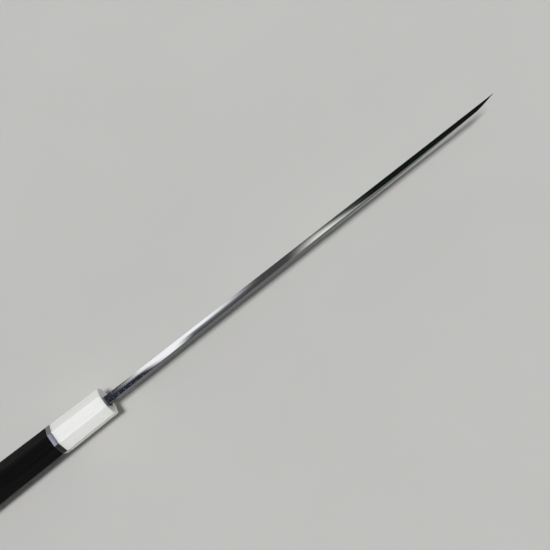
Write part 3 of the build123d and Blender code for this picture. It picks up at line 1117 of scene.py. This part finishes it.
class Sky(Graph):
    """The world's nodes, with soft masks over the direction that is looked in."""

    # Tones overhead: at the handle's end, over the middle and beyond the tip.
    REAR_TONE = (0.030, 0.036, 0.052)
    MIDDLE_TONE = (0.085, 0.088, 0.090)
    TIP_TONE = (0.0095, 0.0140, 0.0125)
    # Panels: middle, softness and slant of the two borders along, then of those across, and tone.
    PANELS = (
        ((-0.420, 0.030, 0.0), (-0.262, 0.025, 0.0), (-0.30, 0.1), (0.45, 0.2), (1.20, 1.23, 1.42)),
        ((-0.120, 0.030, 0.0), (-0.050, 0.040, 0.0), (0.10, 0.09), (0.60, 0.1), (0.33, 0.34, 0.37)),
        ((-0.190, 0.032, 0.0), (-0.055, 0.040, 0.0), (0.183, 0.048), (0.60, 0.1), (1.46, 1.47, 1.51)),
        ((-0.1485, 0.013, 0.12), (-0.118, 0.014, 0.0), (0.019, 0.04), (0.60, 0.1), (1.46, 1.47, 1.49)),
        ((0.0425, 0.023, 0.0), (0.105, 0.025, 0.11), (-0.60, 0.10), (0.21, 0.20), (1.18, 1.23, 1.13)),
    )
    # Tones of the dark card low on the right and of the lit patch low ahead on the right.
    CARD_TONE = (0.04, 0.04, 0.04)
    LIT_TONE = (3.00, 3.00, 2.88)
    # Share of the low surroundings that already shows half way up, on the left.
    HALF_WAY = 0.45
    # Lowest height that the overhead directions are divided by.
    LEAST_HEIGHT = 0.02

    def rise(self, value, middle, soft):
        """Mask that rises softly from 0 to 1 round a middle."""
        inputs = {"Value": value, "From Min": middle - soft, "From Max": middle + soft}
        return self.add("ShaderNodeMapRange", inputs, interpolation_type="SMOOTHSTEP").outputs["Result"]

    def fall(self, value, middle, soft):
        return self.math("SUBTRACT", 1.0, self.rise(value, middle, soft))

    def overlap(self, mask, *others):
        """Mask where all the given ones hold."""
        for other in others:
            mask = self.math("MULTIPLY", mask, other)
        return mask

    def overhead(self, x, y, z):
        """Dark sky with the soft panels that the spine mirrors."""
        height = self.math("MAXIMUM", z, self.LEAST_HEIGHT)
        along, across = self.math("DIVIDE", x, height), self.math("DIVIDE", y, height)
        sky = self.blend(self.rise(along, -0.125, 0.05), self.REAR_TONE, self.MIDDLE_TONE)
        sky = self.blend(self.rise(along, 0.118, 0.022), sky, self.TIP_TONE)
        for rear, front, right, left, tone in self.PANELS:
            borders = []
            for border, (middle, soft, slant) in ((self.rise, rear), (self.fall, front)):
                value = self.math("ADD", along, self.math("MULTIPLY", across, slant)) if slant else along
                borders.append(border(value, middle, soft))
            mask = self.overlap(*borders, self.rise(across, *right), self.fall(across, *left))
            sky = self.blend(mask, sky, tone)
        return sky

    def low(self, x, y, z, pale, dim):
        """Pale surroundings, dim ahead on the left, dark in the card and bright in the lit patch."""
        ahead = self.overlap(self.rise(x, 0.25, 0.35), self.rise(y, -0.3, 0.4))
        card = self.overlap(self.rise(x, -0.50, 0.10), self.fall(x, -0.14, 0.08), self.fall(y, -0.82, 0.08))
        lit = self.overlap(self.rise(x, 0.40, 0.30), self.fall(y, -0.05, 0.20), self.fall(z, 0.14, 0.10))
        low = self.blend(card, self.blend(ahead, pale, dim), self.CARD_TONE)
        return self.blend(lit, low, self.LIT_TONE)


class KNIFE_OT_stage(bpy.types.Operator):
    """Set the floor, the lights, the background and the camera"""

    bl_idname = "knife.stage"
    bl_label = "Stage"

    def execute(self, context):
        scene = context.scene
        stage = scene.knife_stage
        self.floor(stage)
        self.background(scene, stage)
        self.lights(scene, stage)
        self.camera(scene, stage)
        scene.view_settings.view_transform = "Standard"
        return {"FINISHED"}

    def floor(self, stage):
        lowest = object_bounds()[0][2]
        half = stage.floor_size / 2.0
        mesh = bmesh.new()
        mesh.faces.new([mesh.verts.new((x, y, lowest)) for x, y in
                        ((-half, -half), (half, -half), (half, half), (-half, half))])
        paint = tuple(stage.floor)
        finish = Finish("floor_paint", paint, 0.9)
        patches = finish.patches(Stretch=(9.0, 9.0, 9.0))
        finish.feed(Base_Color=finish.blend(patches, shaded(paint, 0.985), paint), Specular_IOR_Level=0.1)
        finish_mesh("floor", mesh, (finish.material,))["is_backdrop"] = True

    def background(self, scene, stage):
        """Soft studio: dark overhead with panels for the steel to show, and pale low down."""
        world = bpy.data.worlds.new("studio")
        scene.world = world
        world.use_nodes = True
        sky = Sky(world.node_tree)
        looked = sky.add("ShaderNodeTexCoord").outputs["Generated"]
        x, y, z = sky.add("ShaderNodeSeparateXYZ", {0: looked}).outputs
        low = sky.low(x, y, z, tuple(stage.horizon), tuple(stage.horizon_dim))
        half_way = sky.overlap(sky.fall(z, 0.70, 0.16), sky.HALF_WAY, sky.rise(y, -0.25, 0.25))
        seen = sky.blend(half_way, sky.overhead(x, y, z), low)
        seen = sky.blend(sky.fall(z, 0.30, 0.28), seen, low)
        # Looked at straight, the surroundings are a plain pale backdrop.
        straight = sky.add("ShaderNodeLightPath").outputs["Is Camera Ray"]
        seen = sky.blend(straight, seen, tuple(stage.backdrop))
        sky.give(world.node_tree.nodes["Background"].inputs["Color"], seen)

    def lights(self, scene, stage):
        sun = bpy.data.lights.new("main_light", "SUN")
        sun.energy = stage.sun
        sun.angle = stage.sun_spread
        lamp = bpy.data.objects.new("main_light", sun)
        lamp.rotation_euler = (stage.sun_lean, 0.0, 0.0)
        lamp.location = (0.1, 0.0, 1.0)
        lamp.visible_glossy = False
        scene.collection.objects.link(lamp)

    def camera(self, scene, stage):
        data = bpy.data.cameras.new("camera")
        data.sensor_width = 36.0
        data.lens = data.sensor_width * stage.distance / stage.picture_width
        data.clip_start = 0.01
        data.clip_end = 50.0
        camera = bpy.data.objects.new("camera", data)
        back = Vector((0.0, -math.sin(stage.tilt), math.cos(stage.tilt)))
        side = Vector((0.0, math.cos(stage.tilt), math.sin(stage.tilt)))
        along = Vector((1.0, 0.0, 0.0))
        right = math.cos(stage.turn) * along - math.sin(stage.turn) * side
        up = math.sin(stage.turn) * along + math.cos(stage.turn) * side
        turn = Matrix((right, up, back)).transposed().to_4x4()
        camera.matrix_world = Matrix.Translation(Vector(stage.aim) + back * stage.distance) @ turn
        scene.collection.objects.link(camera)
        scene.camera = camera


class KNIFE_PT_panel(bpy.types.Panel):
    """Lists the knife's pieces and its stage"""

    bl_label = "Yanagiba Knife"
    bl_idname = "KNIFE_PT_panel"
    bl_space_type = "VIEW_3D"
    bl_region_type = "UI"
    bl_category = "Knife"

    def draw(self, context):
        for operator in OPERATORS:
            self.layout.operator(operator.bl_idname)


OPERATORS = (KNIFE_OT_cladding, KNIFE_OT_steel, KNIFE_OT_handle, KNIFE_OT_inside, KNIFE_OT_flecks,
             KNIFE_OT_stage)
SETTINGS = {
    "knife_blade": KnifeBladeSizes,
    "knife_handle": KnifeHandleSizes,
    "knife_finishes": KnifeFinishes,
    "knife_stage": KnifeStage,
}


def register():
    for settings in SETTINGS.values():
        bpy.utils.register_class(settings)
    for name, settings in SETTINGS.items():
        setattr(bpy.types.Scene, name, bpy.props.PointerProperty(type=settings))
    for operator in OPERATORS:
        bpy.utils.register_class(operator)
    bpy.utils.register_class(KNIFE_PT_panel)


def unregister():
    bpy.utils.unregister_class(KNIFE_PT_panel)
    for operator in reversed(OPERATORS):
        bpy.utils.unregister_class(operator)
    for name, settings in SETTINGS.items():
        delattr(bpy.types.Scene, name)
        bpy.utils.unregister_class(settings)


def main():
    register()
    bpy.ops.knife.cladding()
    bpy.ops.knife.steel()
    bpy.ops.knife.handle()
    bpy.ops.knife.inside()
    bpy.ops.knife.flecks()
    bpy.ops.knife.stage()


if __name__ == "__main__":
    main()
